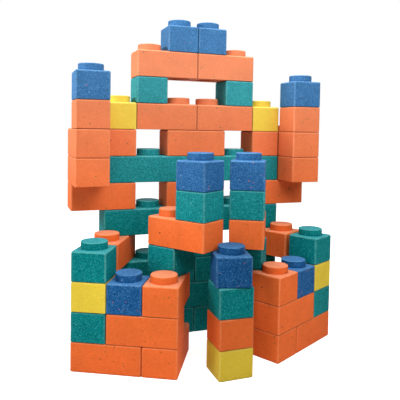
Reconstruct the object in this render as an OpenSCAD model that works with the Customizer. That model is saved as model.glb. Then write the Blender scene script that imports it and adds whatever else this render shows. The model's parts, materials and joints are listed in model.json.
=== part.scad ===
// Giant foam building blocks, stacked as a castle wall with two towers,
// two turned wings with swinging gate arms, and a column in front.
// Millimetres, +Z up. The wall runs along X and faces -Y.

/* [Block] */
// Stud spacing, and so the width of a one-stud block with its side gap
pitch = 150; // [100:1:220]
// Height of a block, without its studs
block_h = 124.8; // [80:0.2:180]
// Radius of a block's upright and top edges
edge_r = 8; // [3:0.5:14]
// Radius of a block's bottom edges
foot_r = 2.5; // [0.5:0.5:2.5]
// Stud diameter
stud_d = 112; // [80:1:124]
// Stud height above its block
stud_h = 32; // [16:1:48]
// Radius of a stud's top rim
stud_rim_r = 4; // [1:0.5:10]
// Radius of the hollow round a stud's root
stud_root_r = 2.5; // [0.5:0.5:3]

/* [Fits] */
// Gap between neighbouring blocks of a course
side_gap = 0.6; // [0.2:0.1:3]
// Gap between a block and the one that it sits on
seat_gap = 0.2; // [0.1:0.1:1]
// Radial play of a stud in its socket
stud_play = 0.6; // [0.2:0.1:3]
// Room above a stud in its socket
socket_room = 2; // [0.5:0.5:8]
// Chamfer at a socket's mouth
socket_lead = 3; // [3:0.5:8]

/* [Layout] */
// Room between a turned block's corner and the stud beside it
turn_room = 2; // [0.5:0.5:10]
// Room between a wing and the link block that swings past it
swing_room = 6; // [1:1:30]
// Gap between the two gate arms where they meet
gate_gap = 14; // [2:1:60]
// Angle by which both gate arms are pushed to the right
gate_skew = 3; // [0:0.5:6]
// Room between a swinging gate arm and the stud of the front column
column_room = 3; // [1:1:60]
// Height at which a gate arm rides above its post, so that it swings over the column
arm_seat = 0.6; // [0.2:0.1:0.9]
// Turn of the column's third block
column_third_turn = -2.5; // [-30:0.5:30]
// Turn of the column's top block
column_top_turn = -12; // [-30:0.5:30]

/* [Hidden] */
$fn = 64;
LEFT = 0;
RIGHT = 1;

ORANGE = [0.93, 0.50, 0.30];
TEAL = [0.16, 0.55, 0.55];
BLUE = [0.25, 0.46, 0.68];
YELLOW = [0.93, 0.80, 0.30];

block_w = pitch - side_gap;
course_h = block_h + seat_gap;
stud_r = stud_d / 2;
socket_r = stud_r + stud_play;
socket_depth = stud_h + socket_room;

// A block on one stud turns until its rounded corner meets the stud beside it.
corner_reach = sqrt(2) * (block_w / 2 - edge_r);
corner_stop = stud_r + edge_r + turn_room;
free_turn = 45 - acos(min(1, (pow(corner_reach, 2) + pow(pitch, 2) - pow(corner_stop, 2))
    / (2 * corner_reach * pitch)));

// A two-stud block that swings on one stud sweeps this radius with its far corners.
arm_end = 1.5 * pitch - side_gap / 2;
arm_reach = norm([arm_end, block_w / 2]);

// Each link turns on a wall stud, and its wing stands just outside the link's sweep.
link_x = -2.5 * pitch;
wing_front = 2 * pitch + arm_reach - arm_end - side_gap + swing_room;

// The left gate post stands on the back stud at the inner end of the wing.
post_x = link_x + 2 * pitch * cos(free_turn) - (wing_front - pitch) * sin(free_turn);
post_y = -2 * pitch * sin(free_turn) - (wing_front - pitch) * cos(free_turn);

// Both arms swing in until their corners are half the gate gap from the middle.
gate_turn = atan2(block_w / 2, arm_end)
    + acos(min(1, (-gate_gap / 2 - post_x) / arm_reach));

// The column stands in the middle, just outside the sweep of both arms.
column_y = post_y - sqrt(max(0, pow(arm_reach + stud_r + column_room, 2) - pow(post_x, 2)));

// How far a one-stud block reaches from its stud's axis when it is turned by an angle.
function turned_half(angle) = (block_w / 2 - edge_r) * (cos(angle) + abs(sin(angle))) + edge_r;

// The origin is under the middle of the layout, from the links' back corners to the column.
middle_y = (turned_half(free_turn) + column_y - turned_half(column_top_turn)) / 2;

// Outline of a block's section: wide soft corners at the top and tight ones at the foot.
module rounded_section(w, h) {
    translate([edge_r, 0]) square([w - 2 * edge_r, h]);
    translate([foot_r, 0]) square([w - 2 * foot_r, h - edge_r]);
    translate([0, foot_r]) square([w, h - foot_r - edge_r]);
    for (x = [edge_r, w - edge_r]) translate([x, h - edge_r]) circle(r = edge_r);
    for (x = [foot_r, w - foot_r]) translate([x, foot_r]) circle(r = foot_r);
}

// Outer strip of that section, one edge radius wide and round at both ends.
module edge_section(h) {
    intersection() {
        square([edge_r, h]);
        union() {
            square([edge_r - foot_r, h - edge_r]);
            translate([0, foot_r]) square([edge_r, h - foot_r - edge_r]);
            translate([0, h - edge_r]) circle(r = edge_r);
            translate([edge_r - foot_r, foot_r]) circle(r = foot_r);
        }
    }
}

// Solid bar with every edge rounded: a long middle, two end strips and four turned corners.
module rounded_bar(l, w, h) {
    translate([edge_r - l / 2, -w / 2, 0]) rotate([90, 0, 90])
        linear_extrude(l - 2 * edge_r) rounded_section(w, h);
    for (end = [0, 180]) rotate(end)
        translate([l / 2 - edge_r, w / 2 - edge_r, 0]) rotate([90, 0, 0])
            linear_extrude(w - 2 * edge_r) edge_section(h);
    for (end = [0, 180]) rotate(end) {
        translate([l / 2 - edge_r, w / 2 - edge_r, 0])
            rotate_extrude(angle = 90) edge_section(h);
        translate([l / 2 - edge_r, edge_r - w / 2, 0]) rotate(-90)
            rotate_extrude(angle = 90) edge_section(h);
    }
}

// Round stud with a soft top rim and a hollow root, turned about its axis.
module stud() {
    rotate_extrude() {
        difference() {
            square([stud_r + stud_root_r, stud_root_r]);
            translate([stud_r + stud_root_r, stud_root_r]) circle(r = stud_root_r);
        }
        square([stud_r - stud_rim_r, stud_h]);
        square([stud_r, stud_h - stud_rim_r]);
        translate([stud_r - stud_rim_r, stud_h - stud_rim_r]) intersection() {
            circle(r = stud_rim_r);
            square(stud_rim_r);
        }
    }
}

// Cutter for the round socket that takes a stud from below, with a chamfered mouth.
module socket_cut() {
    rotate_extrude() polygon([
        [0, -1], [socket_r + socket_lead, -1], [socket_r + socket_lead, 0],
        [socket_r, socket_lead], [socket_r, socket_depth], [0, socket_depth]
    ]);
}

// One moulded block of n studs in a row along +X, with its first stud on the Z axis.
module block(n) {
    difference() {
        translate([(n - 1) * pitch / 2, 0, 0])
            rounded_bar(n * pitch - side_gap, block_w, block_h);
        for (i = [0 : n - 1]) translate([i * pitch, 0, 0]) socket_cut();
    }
    for (i = [0 : n - 1]) translate([i * pitch, 0, block_h]) stud();
}

// Puts the wall's stud line behind the origin, so that the layout stands centred on it.
module stand() {
    translate([0, -middle_y, 0]) children();
}

// Mirrors what is built for the left side when it is wanted on the right.
module sided(side) {
    stand() mirror([side, 0, 0]) children();
}

// Stud position in the wall: x in studs from the middle, courses counted from the floor.
module wall_at(x, course) {
    stand() translate([x * pitch, 0, (course - 1) * course_h]) children();
}

// Stud position in the tower: row 0 is in line with the wall and row 1 stands in front of it.
module tower_at(side, row, course) {
    sided(side) translate([-3.5 * pitch, -row * pitch, (course - 1) * course_h]) children();
}

// Frame of the link and wing, turned about the wall stud that carries the link.
module turned_at(side, x, y, course) {
    sided(side) translate([link_x, 0, (course - 1) * course_h]) rotate(-free_turn)
        translate([x, y, 0]) children();
}

// Stud position in the wing: columns run from the outer corner inwards, row 1 is behind row 0.
module wing_at(side, column, row, course) {
    turned_at(side, column * pitch, row * pitch - wing_front, course) children();
}

// Frame of a gate arm, on the axis of its post, with the arm along +X.
module gate_at(side, studs, course) {
    sided(side) translate([post_x, post_y, (course - 1) * course_h + arm_seat])
        rotate(-gate_turn + (side == LEFT ? gate_skew : -gate_skew))
            translate([studs * pitch, 0, 0]) children();
}

// Front column, one stud wide.
module column_at(course, turn) {
    stand() translate([0, column_y, (course - 1) * course_h]) rotate(turn) children();
}

// Wall: long courses.
module wall_long_course(course) color(TEAL) for (x = [-2.5, 0.5]) wall_at(x, course) block(3);
module wall_second_course() color(TEAL) for (x = [-2.5, -0.5, 1.5]) wall_at(x, 2) block(2);
module wall_double(course, x, tint) color(tint) wall_at(x, course) block(2);
module wall_double_pair(course) color(ORANGE) for (x = [-1.5, 0.5]) wall_at(x, course) block(2);
module wall_single(course, x, tint) color(tint) wall_at(x, course) block(1);

// Towers: two doubles run from the wall to the front, and two singles stand on their front studs.
module tower_double(side, course) color(ORANGE) tower_at(side, 0, course) rotate(-90) block(2);
module tower_single(side, course, tint) color(tint) tower_at(side, 1, course) block(1);

// Links: held between the third and fifth courses, with the front half free.
module link(side) color(ORANGE) turned_at(side, 0, 0, 4) rotate(-90) block(2);

// Wings.
module wing_single(side, column, course, tint) color(tint) wing_at(side, column, 0, course) block(1);
module wing_double(side, column, course) color(ORANGE) wing_at(side, column, 0, course) block(2);
module wing_end(side, course) color(ORANGE) wing_at(side, 2, 0, course) rotate(90) block(2);

// Gates.
module gate_post(side) color(TEAL) wing_at(side, 2, 1, 4) rotate(-free_turn) block(1);
module gate_arm(side) color(ORANGE) gate_at(side, 0, 5) block(2);
module gate_single(side, course, tint) color(tint) gate_at(side, 1, course) block(1);

// Column.
module column_single(course, turn, tint) color(tint) column_at(course, turn) block(1);

wall_long_course(1);  // wall_base_blocks
wall_second_course();  // wall_second_blocks
wall_long_course(3);  // wall_third_blocks
wall_double(4, -0.5, TEAL);  // wall_fourth_block
wall_long_course(5);  // wall_fifth_blocks
wall_double(6, -3.5, ORANGE);  // wall_sixth_left_block
wall_double(6, -0.5, ORANGE);  // wall_sixth_centre_block
wall_double(6, 2.5, ORANGE);  // wall_sixth_right_block
wall_long_course(7);  // wall_seventh_blocks
wall_single(8, -2.5, ORANGE);  // wall_eighth_left_block
wall_double(8, -0.5, ORANGE);  // wall_eighth_centre_block
wall_single(8, 2.5, ORANGE);  // wall_eighth_right_block
wall_double_pair(9);  // wall_ninth_blocks
wall_single(9, -2.5, YELLOW);  // wall_left_yellow_block
wall_single(9, 2.5, YELLOW);  // wall_right_yellow_block
wall_single(10, -1.5, TEAL);  // wall_tenth_left_block
wall_single(10, 1.5, TEAL);  // wall_tenth_right_block
wall_double_pair(11);  // wall_eleventh_blocks
wall_single(12, -0.5, BLUE);  // crown_left_block
wall_single(12, 0.5, BLUE);  // crown_right_block
tower_double(LEFT, 7);  // left_tower_lower_block
tower_double(LEFT, 8);  // left_tower_upper_block
tower_single(LEFT, 9, ORANGE);  // left_tower_neck_block
tower_single(LEFT, 10, BLUE);  // left_tower_top_block
tower_double(RIGHT, 7);  // right_tower_lower_block
tower_double(RIGHT, 8);  // right_tower_upper_block
tower_single(RIGHT, 9, ORANGE);  // right_tower_neck_block
tower_single(RIGHT, 10, BLUE);  // right_tower_top_block
link(LEFT);  // left_link_block
link(RIGHT);  // right_link_block
wing_double(LEFT, 0, 1);  // left_wing_base_block
wing_end(LEFT, 1);  // left_wing_base_end_block
wing_single(LEFT, 0, 2, TEAL);  // left_wing_second_teal_block
wing_double(LEFT, 1, 2);  // left_wing_second_orange_block
wing_single(LEFT, 0, 3, YELLOW);  // left_wing_yellow_block
wing_single(LEFT, 1, 3, BLUE);  // left_wing_blue_block
wing_end(LEFT, 3);  // left_wing_end_block
wing_single(LEFT, 0, 4, TEAL);  // left_wing_corner_block
wing_double(RIGHT, 0, 1);  // right_wing_base_block
wing_end(RIGHT, 1);  // right_wing_base_end_block
wing_single(RIGHT, 0, 2, TEAL);  // right_wing_second_teal_block
wing_double(RIGHT, 1, 2);  // right_wing_second_orange_block
wing_single(RIGHT, 0, 3, YELLOW);  // right_wing_yellow_block
wing_single(RIGHT, 1, 3, BLUE);  // right_wing_blue_block
wing_end(RIGHT, 3);  // right_wing_end_block
wing_single(RIGHT, 0, 4, TEAL);  // right_wing_corner_block
gate_post(LEFT);  // left_gate_post_block
gate_arm(LEFT);  // left_gate_arm_block
gate_single(LEFT, 6, TEAL);  // left_gate_teal_block
gate_single(LEFT, 7, BLUE);  // left_gate_top_block
gate_post(RIGHT);  // right_gate_post_block
gate_arm(RIGHT);  // right_gate_arm_block
gate_single(RIGHT, 6, TEAL);  // right_gate_teal_block
gate_single(RIGHT, 7, BLUE);  // right_gate_top_block
column_single(1, 0, YELLOW);  // column_base_block
column_single(2, 0, ORANGE);  // column_second_block
column_single(3, column_third_turn, TEAL);  // column_third_block
column_single(4, column_top_turn, BLUE);  // column_top_block
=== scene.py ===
"""Looks of the giant foam-block castle: bead-foam finishes, studio and camera."""

import json
import logging
import math
import random
from dataclasses import dataclass
from enum import Enum

import bpy
from mathutils import Matrix, Vector


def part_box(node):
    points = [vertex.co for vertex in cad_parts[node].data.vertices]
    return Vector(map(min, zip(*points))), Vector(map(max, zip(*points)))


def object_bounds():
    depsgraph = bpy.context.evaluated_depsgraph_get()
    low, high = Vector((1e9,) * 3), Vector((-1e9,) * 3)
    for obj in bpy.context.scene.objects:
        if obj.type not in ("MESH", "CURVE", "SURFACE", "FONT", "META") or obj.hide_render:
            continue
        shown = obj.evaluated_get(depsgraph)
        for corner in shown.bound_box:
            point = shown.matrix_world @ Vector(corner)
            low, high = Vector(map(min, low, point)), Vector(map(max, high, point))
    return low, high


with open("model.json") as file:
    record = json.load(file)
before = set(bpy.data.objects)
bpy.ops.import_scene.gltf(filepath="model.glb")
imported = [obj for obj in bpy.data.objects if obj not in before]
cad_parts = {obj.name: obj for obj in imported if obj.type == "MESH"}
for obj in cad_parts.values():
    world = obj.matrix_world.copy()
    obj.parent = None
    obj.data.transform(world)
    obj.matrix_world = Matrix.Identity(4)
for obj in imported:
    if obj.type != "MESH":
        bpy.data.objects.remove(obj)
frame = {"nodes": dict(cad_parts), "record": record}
CAD_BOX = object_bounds()

LOG = logging.getLogger("castle")

# Height of a stud over its block's top face, in metres
STUD_RISE = 0.032
# A face whose normal leans up or down by less than this counts as upright
UPRIGHT_LEAN = 0.01

# The screen's curve between levels and light: a straight toe, then a power
SCREEN_WHITE = 255
TOE_END = 0.04045
TOE_SLOPE = 12.92
CURVE_OFFSET = 0.055
CURVE_POWER = 2.4

Colour = tuple[float, float, float]
Point = tuple[float, float, float]
Span = tuple[float, float]
Socket = bpy.types.NodeSocket
Source = Socket | float | tuple[float, ...]

RISING: Span = (0.0, 1.0)
FALLING: Span = (1.0, 0.0)


class Side(Enum):
    """Which half of the castle a mirrored sub-assembly stands in."""

    LEFT = "left"
    RIGHT = "right"


class Label(Enum):
    """What each block tells its finish about itself."""

    SHADE = "shade"
    TURN = "turn"
    TOP = "top"


class Tint(Enum):
    """Foam colours, by the record's material slots."""

    ORANGE = "orange_foam"
    TEAL = "teal_foam"
    BLUE = "blue_foam"
    YELLOW = "yellow_foam"


def linear_level(level: float) -> float:
    """Turn one screen level into the shader's linear one.

    Args:
        level: Screen level from 0 to 255.

    Returns:
        Linear level from 0 to 1.
    """
    share = level / SCREEN_WHITE
    if share <= TOE_END:
        return share / TOE_SLOPE
    return ((share + CURVE_OFFSET) / (1 + CURVE_OFFSET)) ** CURVE_POWER


def linear(colour: Colour) -> tuple[float, float, float, float]:
    """Turn a colour as it looks on a screen into the shader's linear values.

    Args:
        colour: Red, green and blue from 0 to 255.

    Returns:
        Linear red, green, blue and an alpha of 1.
    """
    red, green, blue = (linear_level(level) for level in colour)
    return red, green, blue, 1.0


class NodeSheet:
    """A node tree, with short calls to add and join its nodes.

    The Mix node has a set of sockets for each kind of data, and the MIX numbers are those of
    its colour set.
    """

    MIX_SHARE, MIX_FIRST, MIX_SECOND, MIX_RESULT = 0, 6, 7, 2

    def __init__(self, tree: bpy.types.NodeTree) -> None:
        """Keep the tree and empty it."""
        self.tree = tree
        self.tree.nodes.clear()

    def add(self, kind: str, **settings: object) -> bpy.types.Node:
        """Add one node.

        Args:
            kind: Blender's name of the node's type.
            **settings: Properties to set on the new node.

        Returns:
            The node.
        """
        node = self.tree.nodes.new(kind)
        for name, value in settings.items():
            setattr(node, name, value)
        return node

    def feed(self, node: bpy.types.Node, socket: str | int, source: Source) -> None:
        """Give one input its value, or join another node's output to it.

        Args:
            node: The node to feed.
            socket: The input's name or number.
            source: An output socket, or a plain value.
        """
        target = node.inputs[socket]
        if isinstance(source, Socket):
            self.tree.links.new(source, target)
        else:
            target.default_value = source

    def show(self, shader: bpy.types.Node, output: str = "ShaderNodeOutputMaterial") -> None:
        """Make a shader the tree's surface.

        Args:
            shader: The last shader node.
            output: Blender's name of the output node's type.
        """
        self.feed(self.add(output), "Surface", shader.outputs[0])

    def place(self, kind: str) -> Socket:
        """Return one of the texture coordinates, by its name."""
        return self.add("ShaderNodeTexCoord").outputs[kind]

    def label(self, label: Label) -> Socket:
        """Return one of the numbers that the block's object carries."""
        node = self.add("ShaderNodeAttribute", attribute_type="OBJECT", attribute_name=label.value)
        return node.outputs["Fac"]

    def parts(self, vector: Socket) -> bpy.types.NodeOutputs:
        """Split a vector.

        Args:
            vector: Output to split.

        Returns:
            Its three outputs, by the names X, Y and Z.
        """
        node = self.add("ShaderNodeSeparateXYZ")
        self.feed(node, 0, vector)
        return node.outputs

    def noise(self, place: Socket, scale: float, detail: float) -> bpy.types.NodeOutputs:
        """Lay soft noise over the surface.

        Args:
            place: Coordinates to read the noise at.
            scale: Blotches per metre.
            detail: Octaves of finer noise in it.

        Returns:
            The noise's outputs.
        """
        node = self.add("ShaderNodeTexNoise")
        self.feed(node, "Vector", place)
        self.feed(node, "Scale", scale)
        self.feed(node, "Detail", detail)
        return node.outputs

    def math(self, operation: str, first: Source, second: Source = 0.0) -> Socket:
        """Work out a sum of one or two numbers.

        Args:
            operation: Blender's name of the sum.
            first: First number or output.
            second: Second number or output, where the sum has one.

        Returns:
            The result.
        """
        node = self.add("ShaderNodeMath", operation=operation)
        self.feed(node, 0, first)
        self.feed(node, 1, second)
        return node.outputs[0]

    def product(self, first: Socket, *others: Source) -> Socket:
        """Multiply several numbers.

        Args:
            first: First output.
            *others: The numbers or outputs to multiply it by.

        Returns:
            The product.
        """
        result = first
        for factor in others:
            result = self.math("MULTIPLY", result, factor)
        return result

    def spread(self, value: Socket, span: Span, onto: Span) -> Socket:
        """Map a value from one span onto another, held at both ends.

        Args:
            value: Output to map.
            span: Values that count as the low and high end.
            onto: Values given for them.

        Returns:
            The mapped output.
        """
        node = self.add("ShaderNodeMapRange", clamp=True)
        for socket, source in enumerate((value, *span, *onto)):
            self.feed(node, socket, source)
        return node.outputs[0]

    def blend(self, share: Source, first: Source, second: Source, how: str = "MIX") -> Socket:
        """Mix two colours.

        Args:
            share: How much of the second colour, as a number or an output.
            first: First colour.
            second: Second colour.
            how: Blender's name of the way they mix.

        Returns:
            The mixed colour.
        """
        node = self.add("ShaderNodeMix", data_type="RGBA", blend_type=how)
        self.feed(node, self.MIX_SHARE, share)
        self.feed(node, self.MIX_FIRST, first)
        self.feed(node, self.MIX_SECOND, second)
        return node.outputs[self.MIX_RESULT]

    def ramp(self, value: Socket, stops: list[tuple[float, Colour]], steps: bool = False) -> Socket:
        """Read a colour off a ramp.

        Args:
            value: Output that picks the place on the ramp.
            stops: Place and screen colour of each stop, in order.
            steps: Whether the colours change in steps.

        Returns:
            The colour.
        """
        node = self.add("ShaderNodeValToRGB")
        node.color_ramp.interpolation = "CONSTANT" if steps else "LINEAR"
        stock = node.color_ramp.elements
        while len(stock) < len(stops):
            stock.new(1.0)
        for element, (place, colour) in zip(stock, stops):
            element.position = place
            element.color = linear(colour)
        self.feed(node, 0, value)
        return node.outputs[0]


@dataclass(frozen=True)
class Cloud:
    """Soft noise that makes a surface uneven.

    Attributes:
        scale: Blotches per metre.
        detail: Octaves of finer noise in it.
        span: Noise values that count as its low and high end.
        onto: Levels given for them.
    """

    scale: float
    detail: float
    span: Span
    onto: Span

    def level(self, sheet: NodeSheet) -> Socket:
        """Lay the cloud over the block.

        Args:
            sheet: The finish's nodes.

        Returns:
            The level at each place.
        """
        noise = sheet.noise(sheet.place("Object"), self.scale, self.detail)
        return sheet.spread(noise[0], self.span, self.onto)


@dataclass(frozen=True)
class EdgeWearAndHighlight:
    """Where the rounded edges of a block are paled, part rubbing and part painted highlight where
    they catch the light.

    The rounded top edges and stud rims lean part of the way up. The upright edges lean part of
    the way between two sides, measured from the block's own turn, below its top face.

    Attributes:
        rim_start: Upward leans between which a rim begins, from an upright side.
        rim_end: Upward leans between which it runs out into a flat top.
        root: Heights over the top face, in metres, between which a stud's foot isn't paled.
        slant: Slants between two sides over which an upright edge begins.
        upright_share: Rubbing and painted highlight of an upright edge, as a share of a rim's.
        upright_end: Upward leans between which an upright edge runs out at its top.
        open_air: How open a place is where the paling starts and where it is full.
        blotches: Cloud that breaks up the rubbing and painted highlight.
    """

    rim_start: Span = (0.03, 0.40)
    rim_end: Span = (0.75, 0.995)
    root: Span = (-0.0002, 0.006)
    slant: Span = (0.04, 0.75)
    upright_share: float = 0.75
    upright_end: Span = (0.5, 0.9)
    open_air: Span = (0.7, 0.95)
    blotches: Cloud = Cloud(scale=34.0, detail=2.0, span=(0.34, 0.62), onto=(0.45, 1.0))

    def share(self, sheet: NodeSheet, air: Socket) -> Socket:
        """Tell the paled edges, part rubbing and part painted highlight, from the flat faces and
        the joints.

        Args:
            sheet: The finish's nodes.
            air: 1 on open faces, falling to 0 deep in a joint.

        Returns:
            1 on a fully paled edge, and 0 where there is neither rubbing nor painted highlight.
        """
        lean = sheet.parts(sheet.place("Normal"))
        height = sheet.parts(sheet.place("Object"))["Z"]
        over = sheet.math("SUBTRACT", height, sheet.label(Label.TOP))
        rim = self._rim(sheet, lean["Z"], over)
        upright = self._upright(sheet, lean, over)
        return sheet.product(
            sheet.math("MAXIMUM", rim, upright), self.blotches.level(sheet),
            sheet.spread(air, self.open_air, RISING))

    def _rim(self, sheet: NodeSheet, up: Socket, over: Socket) -> Socket:
        """Find the rounded top edges and the rims of the studs.

        Args:
            sheet: The finish's nodes.
            up: How far the surface leans up.
            over: Height over the block's top face.

        Returns:
            1 on a rim, and 0 elsewhere.
        """
        low, high = self.root
        root = sheet.product(sheet.math("GREATER_THAN", over, low),
                             sheet.math("LESS_THAN", over, high))
        return sheet.product(
            sheet.spread(up, self.rim_start, RISING), sheet.spread(up, self.rim_end, FALLING),
            sheet.math("SUBTRACT", 1.0, root))

    def _upright(self, sheet: NodeSheet, lean: bpy.types.NodeOutputs, over: Socket) -> Socket:
        """Find the rounded upright edges.

        Args:
            sheet: The finish's nodes.
            lean: The surface's direction, by X, Y and Z.
            over: Height over the block's top face.

        Returns:
            The share of rubbing and painted highlight on an upright edge, and 0 elsewhere.
        """
        angle = sheet.math("ARCTAN2", lean["Y"], lean["X"])
        angle = sheet.math("SUBTRACT", angle, sheet.label(Label.TURN))
        # The sine of the doubled angle is 0 on all four sides and 1 half-way between two
        doubled = sheet.math("ADD", angle, angle)
        slant = sheet.math("ABSOLUTE", sheet.math("SINE", doubled))
        return sheet.product(
            sheet.spread(slant, self.slant, (0.0, self.upright_share)),
            sheet.math("LESS_THAN", over, 0.0),
            sheet.spread(lean["Z"], self.upright_end, FALLING))


@dataclass(frozen=True)
class BeadFoam:
    """Moulded bead foam of one colour, with a mottle of paler and darker beads.

    Attributes:
        tint: Foam colour, which is also the record's slot.
        base: Screen colour of most beads.
        pale: Screen colour of the palest beads.
        dark: Screen colour of the darkest beads.
        plain_share: Share of the beads that keep the base colour.
        flecks: Screen colours of stray beads from other batches.
        fleck_share: Share of the beads that are strays.
        bead: Bead size in metres.
        packing: How irregularly the beads are packed, from 0 to 1.
        push: How far a bead is pushed out of place, as a share of its size.
        push_waves: Waves of that push per bead.
        push_detail: Octaves of finer waves in it.
        mottle: Share by which the darkest and palest beads differ in lightness.
        seam: How much darker the seams between beads are.
        seam_width: Width of a seam, as a share of a bead.
        seam_depth: Depth of a seam, as a share of a bead's rise.
        bead_rise: How far a bead stands out, as a share of its size.
        grain: Strength of the pebbled surface.
        uneven: Cloud of lighter and darker foam.
        worn_highlight: Screen colour of the paled edges, part rubbing and part painted highlight.
        wear_and_highlight: Share of that colour on a fully paled edge.
        edge_wear_and_highlight: Where the edges are paled, part rubbing and part painted highlight.
        ior: Refraction of the moulded skin, low because its pores swallow glancing light.
        gloss: Specular level of the moulded skin.
        roughness: Roughness of the smoothest and roughest beads.
        painted_light_colour: Screen colour of the painted light, towards which the foam is paled.
        painted_light_high: Share of that colour on the topmost blocks, painted light for the
            brighter light high up.
        painted_light_heights: Heights in metres between which that painted light sets in.
        painted_top_light: Share of that colour on faces that look up, painted light for the light
            from above.
        painted_top_leans: Upward leans between which a face comes to look up.
        painted_shade: Share of light that the painted shade takes from the tightest joints.
        painted_shade_reach: How far in metres the painted shade of a joint spreads.
        painted_shade_span: How open a place is with the most painted shade and with none.
        openness_samples: Rays that find how open a place is.
    """

    tint: Tint
    base: Colour
    pale: Colour
    dark: Colour
    plain_share: float
    flecks: tuple[Colour, ...]
    fleck_share: float
    bead: float = 0.0045
    packing: float = 0.9
    push: float = 0.8
    push_waves: float = 0.25
    push_detail: float = 1.0
    mottle: float = 0.12
    seam: float = 0.12
    seam_width: float = 0.10
    seam_depth: float = 0.6
    bead_rise: float = 0.12
    grain: float = 0.35
    uneven: Cloud = Cloud(scale=9.0, detail=3.0, span=(0.3, 0.7), onto=(0.94, 1.05))
    worn_highlight: Colour = (255, 255, 255)
    wear_and_highlight: float = 0.3
    edge_wear_and_highlight: EdgeWearAndHighlight = EdgeWearAndHighlight()
    ior: float = 1.3
    gloss: float = 0.10
    roughness: Span = (0.55, 0.70)
    painted_light_colour: Colour = (255, 255, 255)
    painted_light_high: float = 0.30
    painted_light_heights: Span = (0.55, 1.25)
    painted_top_light: float = 0.25
    painted_top_leans: Span = (0.5, 0.95)
    painted_shade: float = 0.6
    painted_shade_reach: float = 0.014
    painted_shade_span: Span = (0.2, 0.8)
    openness_samples: int = 8

    def material(self) -> bpy.types.Material:
        """Build the finish.

        Returns:
            The material, named after the slot.
        """
        made = bpy.data.materials.new(self.tint.value)
        made.use_nodes = True
        sheet = NodeSheet(made.node_tree)
        place = self._bead_place(sheet)
        cells = self._voronoi(sheet, place, "F1")
        seams = self._voronoi(sheet, place, "DISTANCE_TO_EDGE")
        split = sheet.add("ShaderNodeSeparateColor")
        sheet.feed(split, 0, cells["Color"])
        lots = split.outputs
        groove = sheet.spread(seams["Distance"], (0.0, self.seam_width), FALLING)
        shader = sheet.add("ShaderNodeBsdfPrincipled")
        sheet.feed(shader, "Base Color", self._colour(sheet, lots, groove))
        sheet.feed(shader, "Roughness", sheet.spread(lots[2], RISING, self.roughness))
        sheet.feed(shader, "IOR", self.ior)
        sheet.feed(shader, "Specular IOR Level", self.gloss)
        sheet.feed(shader, "Normal", self._grain(sheet, cells["Distance"], groove))
        sheet.show(shader)
        return made

    def _bead_place(self, sheet: NodeSheet) -> Socket:
        """Push the block's own coordinates about a little, so that no bead is regular.

        Args:
            sheet: The finish's nodes.

        Returns:
            The pushed coordinates.
        """
        spot = sheet.place("Object")
        wander = sheet.noise(spot, self.push_waves / self.bead, self.push_detail)
        pushed = sheet.add("ShaderNodeVectorMath", operation="MULTIPLY_ADD")
        sheet.feed(pushed, 0, wander["Color"])
        sheet.feed(pushed, 1, (self.bead * self.push,) * 3)
        sheet.feed(pushed, 2, spot)
        return pushed.outputs[0]

    def _voronoi(self, sheet: NodeSheet, place: Socket, feature: str) -> bpy.types.NodeOutputs:
        """Pack the beads.

        Args:
            sheet: The finish's nodes.
            place: Coordinates to pack them in.
            feature: Blender's name of what is measured, cells or the way to their seams.

        Returns:
            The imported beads' outputs.
        """
        node = sheet.add("ShaderNodeTexVoronoi", feature=feature)
        sheet.feed(node, "Vector", place)
        sheet.feed(node, "Scale", 1 / self.bead)
        sheet.feed(node, "Randomness", self.packing)
        return node.outputs

    def _colour(self, sheet: NodeSheet, lots: bpy.types.NodeOutputs, groove: Socket) -> Socket:
        """Mix the colour of the beads with the paled edges, the painted light and all that darkens
        them, painted shade among it.

        Args:
            sheet: The finish's nodes.
            lots: Three random numbers for each bead.
            groove: 1 in the middle of a seam, falling to 0 on the beads.

        Returns:
            The colour.
        """
        air = self._open_air(sheet)
        # Paled edges: part rubbing, part painted highlight on the edges that catch the light.
        pale_edge_share = sheet.product(self.edge_wear_and_highlight.share(sheet, air), self.wear_and_highlight)
        beads = sheet.blend(pale_edge_share, self._beads(sheet, lots), linear(self.worn_highlight))
        level = sheet.product(
            self.uneven.level(sheet),
            sheet.spread(groove, RISING, (1.0, 1 - self.seam)),
            # The block's shade label: its own random tone, times its group's painted shade, below 1
            # on the front column.
            sheet.label(Label.SHADE),
            sheet.spread(lots[0], RISING, (1 - self.mottle, 1 + self.mottle)),
            # Painted shade: darker in joints and at stud feet, where less light reaches.
            sheet.spread(air, self.painted_shade_span, (1 - self.painted_shade, 1.0)))
        return sheet.blend(1.0, self._painted_light(sheet, beads), level, how="MULTIPLY")

    def _beads(self, sheet: NodeSheet, lots: bpy.types.NodeOutputs) -> Socket:
        """Give each bead its colour by lot.

        Args:
            sheet: The finish's nodes.
            lots: Three random numbers for each bead.

        Returns:
            The beads' colour.
        """
        edge = (1 - self.plain_share) / 2
        mottled = sheet.ramp(lots[0], [
            (0.0, self.dark), (edge, self.base), (1 - edge, self.base), (1.0, self.pale)])
        steps = [(index / len(self.flecks), fleck) for index, fleck in enumerate(self.flecks)]
        stray = sheet.ramp(lots[2], steps, steps=True)
        is_stray = sheet.math("GREATER_THAN", lots[1], 1 - self.fleck_share)
        return sheet.blend(is_stray, mottled, stray)

    def _open_air(self, sheet: NodeSheet) -> Socket:
        """Tell open faces from the joints, which get painted shade and no paled edges.

        Args:
            sheet: The finish's nodes.

        Returns:
            1 on open faces, falling to 0 deep in a joint.
        """
        node = sheet.add("ShaderNodeAmbientOcclusion", samples=self.openness_samples)
        sheet.feed(node, "Distance", self.painted_shade_reach)
        return node.outputs["AO"]

    def _painted_light(self, sheet: NodeSheet, beads: Socket) -> Socket:
        """Paint light onto the beads: a little paler on tops and high up on the castle.

        Args:
            sheet: The finish's nodes.
            beads: Colour of the beads.

        Returns:
            The bleached colour.
        """
        height = sheet.parts(sheet.place("Object"))["Z"]
        up = sheet.parts(sheet.place("Normal"))["Z"]
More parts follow.
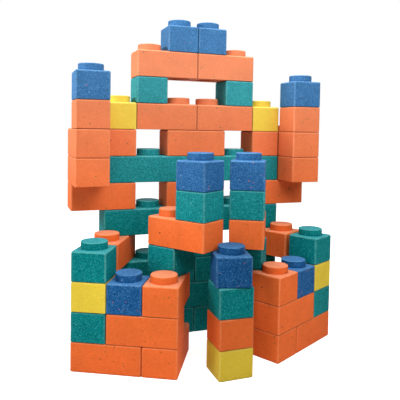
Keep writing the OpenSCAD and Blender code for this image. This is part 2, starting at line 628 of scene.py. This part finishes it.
        # Painted light: the foam is paler high up on the castle and on faces that look up, where
        # more light falls.
        share = sheet.math("MAXIMUM", sheet.spread(height, self.painted_light_heights, (0.0, self.painted_light_high)),
                           sheet.spread(up, self.painted_top_leans, (0.0, self.painted_top_light)))
        return sheet.blend(share, beads, linear(self.painted_light_colour))

    def _grain(self, sheet: NodeSheet, distance: Socket, groove: Socket) -> Socket:
        """Pebble the surface with domed beads and sunk seams.

        Args:
            sheet: The finish's nodes.
            distance: Distance from the middle of a bead.
            groove: 1 in the middle of a seam, falling to 0 on the beads.

        Returns:
            The pebbled surface's normal.
        """
        dome = sheet.math("SUBTRACT", 1.0, sheet.product(distance, distance))
        height = sheet.math("SUBTRACT", dome, sheet.product(groove, self.seam_depth))
        bump = sheet.add("ShaderNodeBump")
        sheet.feed(bump, "Strength", self.grain)
        sheet.feed(bump, "Distance", self.bead * self.bead_rise)
        sheet.feed(bump, "Height", height)
        return bump.outputs[0]


# chalk, fade and painted_top_light paint light onto each foam; worn and wear pale its edges, part
# rubbing and part painted highlight.
FOAMS = (
    BeadFoam(
        tint=Tint.ORANGE, base=(244, 115, 55), pale=(246, 121, 60), dark=(241, 109, 50),
        plain_share=0.5, fleck_share=0.003, mottle=0.03, seam=0.05, grain=0.12,
        worn_highlight=(255, 196, 150), wear_and_highlight=0.22, painted_light_colour=(170, 166, 144), painted_top_light=0.36,
        flecks=((140, 76, 36), (112, 108, 46), (84, 54, 40), (196, 78, 44), (160, 120, 60))),
    BeadFoam(
        tint=Tint.TEAL, base=(6, 131, 133), pale=(41, 154, 155), dark=(2, 104, 108),
        plain_share=0.4, fleck_share=0.0008, bead=0.0039, mottle=0.08, seam=0.12, grain=0.26,
        worn_highlight=(150, 222, 214), wear_and_highlight=0.28, painted_light_colour=(96, 175, 190),
        flecks=((120, 190, 186), (8, 60, 70), (30, 96, 150))),
    BeadFoam(
        tint=Tint.BLUE, base=(30, 92, 150), pale=(63, 120, 174), dark=(12, 67, 123),
        plain_share=0.4, fleck_share=0.003, bead=0.0039, mottle=0.08, seam=0.12, grain=0.26,
        worn_highlight=(150, 196, 230), wear_and_highlight=0.24, painted_light_colour=(104, 154, 192),
        flecks=((214, 124, 110), (130, 170, 214), (206, 100, 66), (16, 48, 92))),
    BeadFoam(
        tint=Tint.YELLOW, base=(238, 207, 68), pale=(241, 211, 74), dark=(235, 203, 63),
        plain_share=0.6, fleck_share=0.0006, mottle=0.03, seam=0.05, grain=0.12,
        worn_highlight=(255, 240, 170), wear_and_highlight=0.24, painted_light_colour=(205, 178, 100),
        flecks=((60, 50, 30), (150, 130, 50))),
)


@dataclass(frozen=True)
class BlockGroup:
    """One sub-assembly of stacked blocks.

    Attributes:
        title: Plain name for the log.
        stems: Beginnings of its blocks' node names.
        seed: Start of the shades' draw.
        painted_group_shade: Painted shade of the group's blocks, as a share of the foam's colour,
            below 1 where less light falls on the group.
        shade_play: How far one block's shade may differ from the next.
    """

    title: str
    stems: tuple[str, ...]
    seed: int
    painted_group_shade: float = 1.0
    shade_play: float = 0.035

    def node_names(self) -> list[str]:
        """Return the group's node names in the record's order."""
        rows = frame["record"]["subparts"]
        return [row["node"] for row in rows if row["node"].startswith(self.stems)]

    @staticmethod
    def turn_of(block: bpy.types.Object) -> float:
        """Measure how a block is turned, by its largest upright face.

        Args:
            block: The block's object.

        Returns:
            The face's direction in radians from the X axis.
        """
        sides = [face for face in block.data.polygons if abs(face.normal.z) < UPRIGHT_LEAN]
        largest = max(sides, key=lambda face: face.area)
        return math.atan2(largest.normal.y, largest.normal.x)

    def dress(self, finishes: dict[str, bpy.types.Material]) -> None:
        """Give every block its foam, and tell the foam the block's shade, turn and top.

        Args:
            finishes: Materials by slot.
        """
        draw = random.Random(self.seed)
        slots = {row["node"]: row["material_slot"] for row in frame["record"]["subparts"]}
        for name in self.node_names():
            block = frame["nodes"][name]
            block.data.materials.clear()
            block.data.materials.append(finishes[slots[name]])
            play = draw.uniform(-self.shade_play, self.shade_play)
            # The shade label: the group's painted shade plus the block's own random tone.
            block[Label.SHADE.value] = self.painted_group_shade + play
            block[Label.TURN.value] = self.turn_of(block)
            block[Label.TOP.value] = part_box(name)[1].z - STUD_RISE
            LOG.info("%s: %s in %s", self.title, name, slots[name])


# Sub-assemblies that stand on both sides, with the seed of the left one
MIRRORED = {"tower": 20, "link": 30, "wing": 40, "gate": 50}


def castle() -> list[BlockGroup]:
    """List the castle's sub-assemblies.

    Returns:
        The wall, the mirrored groups and the column.
    """
    groups = [BlockGroup("wall", ("wall_", "crown_"), seed=11)]
    for count, side in enumerate(Side):
        for part, seed in MIRRORED.items():
            groups.append(BlockGroup(
                f"{side.value} {part}", (f"{side.value}_{part}",), seed=seed + count))
    # The front column's blocks get painted shade, for the less light that falls on them.
    groups.append(BlockGroup("front column", ("column_",), seed=61, painted_group_shade=0.77))
    return groups


@dataclass(frozen=True)
class Softbox:
    """A square studio lamp.

    Attributes:
        name: Its object's name.
        place: Where it hangs, in metres.
        aim: What it points at.
        width: Side of its square.
        power: Power in watts.
        spread: Angle in degrees over which its grid lets the light out.
    """

    name: str
    place: Point
    aim: Point
    width: float
    power: float
    spread: float = 180.0

    def hang(self) -> bpy.types.Object:
        """Make the lamp, out of the camera's sight.

        Returns:
            The lamp.
        """
        data = bpy.data.lights.new(self.name, "AREA")
        data.shape = "SQUARE"
        data.size = self.width
        data.energy = self.power
        data.spread = math.radians(self.spread)
        lamp = bpy.data.objects.new(self.name, data)
        lamp.location = self.place
        heading = Vector(self.aim) - Vector(self.place)
        lamp.rotation_mode = "QUATERNION"
        lamp.rotation_quaternion = heading.to_track_quat("-Z", "Y")
        lamp.visible_camera = False
        bpy.context.scene.collection.objects.link(lamp)
        return lamp


@dataclass(frozen=True)
class Studio:
    """Plain pale floor, white surround and soft lamps.

    Attributes:
        floor_half: Half the floor's side in metres.
        floor_colour: Screen colour of the floor.
        floor_lift: Glow of the floor beside the blocks, which leaves their shadow a faint one.
        sweep: Distances from the middle between which the floor turns into the white surround.
        surround: Strength of the light from all round.
        lamps: The softboxes.
    """

    floor_half: float = 40.0
    floor_colour: Colour = (232, 232, 230)
    floor_lift: float = 0.72
    sweep: Span = (0.9, 2.6)
    surround: float = 0.012
    lamps: tuple[Softbox, ...] = (
        Softbox("overhead", (0.0, -0.1, 3.4), (0.0, -0.1, 0.8), 2.6, 107.0),
        Softbox("front_left", (-0.7, -1.6, 2.6), (0.0, 0.0, 0.7), 1.0, 13.1),
        Softbox("front_right", (0.5, -1.4, 2.2), (0.0, 0.25, 1.1), 1.8, 13.0, 110.0),
        Softbox("left_side", (-2.6, 0.25, 1.8), (-0.3, 0.25, 1.2), 0.8, 7.8, 60.0),
        Softbox("left_low", (-2.2, -1.8, 0.9), (-0.5, -0.1, 0.35), 0.8, 2.2, 80.0),
        Softbox("back_fill", (0.6, 3.4, 2.4), (0.0, 0.0, 0.7), 2.0, 20.0),
    )

    def build(self) -> None:
        """Make the floor, the surround and the lamps."""
        self._floor()
        self._world()
        for lamp in self.lamps:
            lamp.hang()
            LOG.info("lamp: %s", lamp.name)

    @staticmethod
    def _seen_directly(sheet: NodeSheet) -> Socket:
        """Tell the rays that see a surface from those that only carry its light.

        Args:
            sheet: The nodes of the surface.

        Returns:
            1 for rays from the camera, a reflection or a clear material, and else 0.
        """
        path = sheet.add("ShaderNodeLightPath").outputs
        seen = sheet.math("MAXIMUM", path["Is Camera Ray"], path["Is Glossy Ray"])
        return sheet.math("MAXIMUM", seen, path["Is Transmission Ray"])

    def _floor(self) -> None:
        """Lay the floor under the blocks."""
        half, level = self.floor_half, CAD_BOX[0].z
        corners = [(x * half, y * half, level) for x, y in ((-1, -1), (1, -1), (1, 1), (-1, 1))]
        mesh = bpy.data.meshes.new("floor")
        mesh.from_pydata(corners, [], [range(len(corners))])
        mesh.materials.append(self._floor_paper())
        floor = bpy.data.objects.new("floor", mesh)
        bpy.context.scene.collection.objects.link(floor)

    def _floor_paper(self) -> bpy.types.Material:
        """Make the floor's paper, which goes over into the white surround.

        Returns:
            The material.
        """
        made = bpy.data.materials.new("floor_paper")
        made.use_nodes = True
        sheet = NodeSheet(made.node_tree)
        matt = sheet.add("ShaderNodeBsdfDiffuse")
        sheet.feed(matt, "Color", linear(self.floor_colour))
        reach = sheet.add("ShaderNodeVectorMath", operation="LENGTH")
        sheet.feed(reach, 0, sheet.place("Object"))
        lift = sheet.spread(reach.outputs["Value"], self.sweep, (self.floor_lift, 1.0))
        glow = sheet.add("ShaderNodeEmission")
        sheet.feed(glow, "Strength", sheet.product(self._seen_directly(sheet), lift))
        both = sheet.add("ShaderNodeAddShader")
        sheet.feed(both, 0, matt.outputs[0])
        sheet.feed(both, 1, glow.outputs[0])
        sheet.show(both)
        return made

    def _world(self) -> None:
        """Set a white surround that lights the blocks more softly than it looks."""
        world = bpy.data.worlds.new("surround")
        bpy.context.scene.world = world
        world.use_nodes = True
        sheet = NodeSheet(world.node_tree)
        sky = sheet.add("ShaderNodeBackground")
        sheet.feed(sky, "Color", (1.0, 1.0, 1.0, 1.0))
        strength = sheet.spread(self._seen_directly(sheet), RISING, (self.surround, 1.0))
        sheet.feed(sky, "Strength", strength)
        sheet.show(sky, "ShaderNodeOutputWorld")


@dataclass(frozen=True)
class PhotoCamera:
    """Camera at the photograph's place, fitted to the castle's own corners.

    Attributes:
        place: Lens position in metres, from the middle of the wall's foot.
        yaw: Turn of the view from +Y towards +X, in degrees.
        pitch: Tilt of the view above the horizon, in degrees.
        roll: Tilt of the frame's right side upwards, in degrees.
        focal_px: Focal length in pixels.
        axis_row_px: Image row on the lens axis, counted from the top.
        image_px: Side of the square image.
        sensor: Sensor width in millimetres.
    """

    place: Point = (-0.8497, -2.4393, 1.0062)
    yaw: float = 20.13
    pitch: float = -2.33
    roll: float = 0.97
    focal_px: float = 513.97
    axis_row_px: float = 149.88
    image_px: int = 400
    sensor: float = 36.0

    def build(self) -> bpy.types.Object:
        """Make the camera and set it as the scene's own.

        Returns:
            The camera.
        """
        data = bpy.data.cameras.new("photo_camera")
        data.sensor_width = self.sensor
        data.lens = self.focal_px / self.image_px * self.sensor
        middle_row_px = self.image_px / 2
        data.shift_y = (self.axis_row_px - middle_row_px) / self.image_px
        camera = bpy.data.objects.new("photo_camera", data)
        camera.matrix_world = self._pose()
        bpy.context.scene.collection.objects.link(camera)
        bpy.context.scene.camera = camera
        LOG.info("camera: %s", camera.name)
        return camera

    def _pose(self) -> Matrix:
        """Work out where the camera stands and how it is turned.

        Returns:
            Its place and turn as one matrix.
        """
        yaw, pitch, roll = (math.radians(angle) for angle in (self.yaw, self.pitch, self.roll))
        level = Vector((math.cos(yaw), -math.sin(yaw), 0.0))
        onward = Vector((math.sin(yaw), math.cos(yaw), 0.0))
        ahead = onward * math.cos(pitch) + Vector((0.0, 0.0, math.sin(pitch)))
        upright = level.cross(ahead)
        right = level * math.cos(roll) + upright * math.sin(roll)
        up = upright * math.cos(roll) - level * math.sin(roll)
        turn = Matrix((right, up, -ahead)).transposed().to_4x4()
        low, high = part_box("wall_base_blocks")
        foot = Vector(((low.x + high.x) / 2, (low.y + high.y) / 2, low.z))
        return Matrix.Translation(foot + Vector(self.place)) @ turn


def main() -> None:
    """Dress the castle, then set up the studio and the camera."""
    logging.basicConfig(level=logging.INFO, format="%(name)s: %(message)s")
    bpy.context.scene.view_settings.view_transform = "Standard"
    finishes = {foam.tint.value: foam.material() for foam in FOAMS}
    for group in castle():
        group.dress(finishes)
    Studio().build()
    PhotoCamera().build()


if __name__ == "__main__":
    main()
